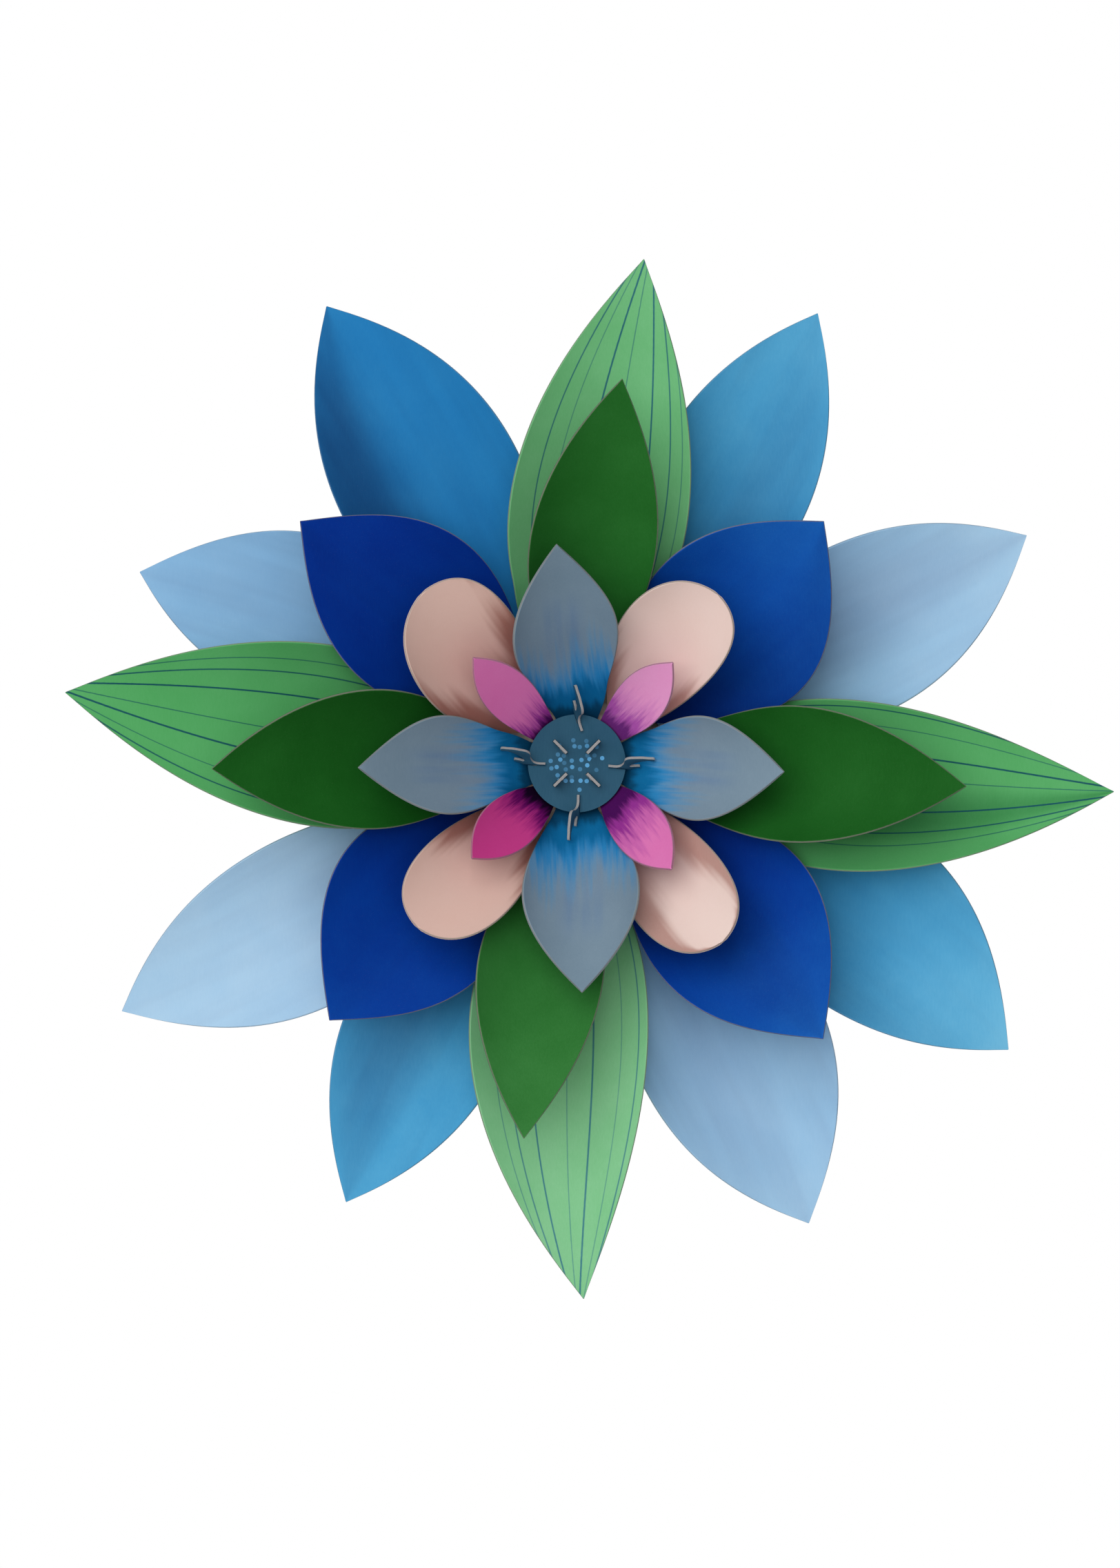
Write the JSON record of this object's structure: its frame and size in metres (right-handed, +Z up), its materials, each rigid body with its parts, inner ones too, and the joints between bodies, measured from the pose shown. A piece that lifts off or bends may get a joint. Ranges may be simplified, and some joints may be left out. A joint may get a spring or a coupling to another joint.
{
  "type": "giant paper flower",
  "caption": "Large wall flower of cupped card petals in stacked slotted hubs, with crossed braces, a round centre disc and upright stamens.",
  "frame": {"origin": "centre of the back plate's rear face, which lies against the wall", "axes": "+Z up the wall, -Y out of the wall towards the viewer, +X to the viewer's right"},
  "size_m": [0.7283, 0.1492, 0.7223],
  "materials": {
    "sky_card": "matte printed card, light blue",
    "blue_card": "matte printed card, mid blue",
    "light_green_card": "matte printed card, light green with thin dark veins",
    "navy_card": "matte printed card, dark blue",
    "dark_green_card": "matte printed card, dark green",
    "beige_card": "matte printed card, plain beige",
    "grey_card": "matte printed card, grey that runs to blue at the root",
    "pink_card": "matte printed card, pink that runs to purple at the root",
    "teal_card": "matte printed card, dark teal",
    "board": "bare grey board"
  },
  "bodies": {
    "root": {"back_petal_blue_nw": "blue_card", "back_petal_blue_ne": "blue_card", "back_petal_blue_se": "blue_card", "back_petal_blue_sw": "blue_card", "back_petal_sky_nw": "sky_card", "back_petal_sky_ne": "sky_card", "back_petal_sky_se": "sky_card", "back_petal_sky_sw": "sky_card", "leaf_light_n": "light_green_card", "leaf_light_e": "light_green_card", "leaf_light_s": "light_green_card", "leaf_light_w": "light_green_card", "petal_navy_nw": "navy_card", "petal_navy_ne": "navy_card", "petal_navy_se": "navy_card", "petal_navy_sw": "navy_card", "leaf_dark_n": "dark_green_card", "leaf_dark_e": "dark_green_card", "leaf_dark_s": "dark_green_card", "leaf_dark_w": "dark_green_card", "petal_beige_nw": "beige_card", "petal_beige_ne": "beige_card", "petal_beige_se": "beige_card", "petal_beige_sw": "beige_card", "petal_grey_n": "grey_card", "petal_grey_e": "grey_card", "petal_grey_s": "grey_card", "petal_grey_w": "grey_card", "petal_pink_nw": "pink_card", "petal_pink_ne": "pink_card", "petal_pink_se": "pink_card", "petal_pink_sw": "pink_card", "back_plate": "board", "hub_1": "board", "hub_2": "board", "hub_3": "board", "hub_4": "board", "brace_1": "board", "brace_2": "board", "centre_disc": "teal_card", "stamen_n": "teal_card", "stamen_e": "teal_card", "stamen_s": "teal_card", "stamen_w": "teal_card"}
  },
  "joints": []
}
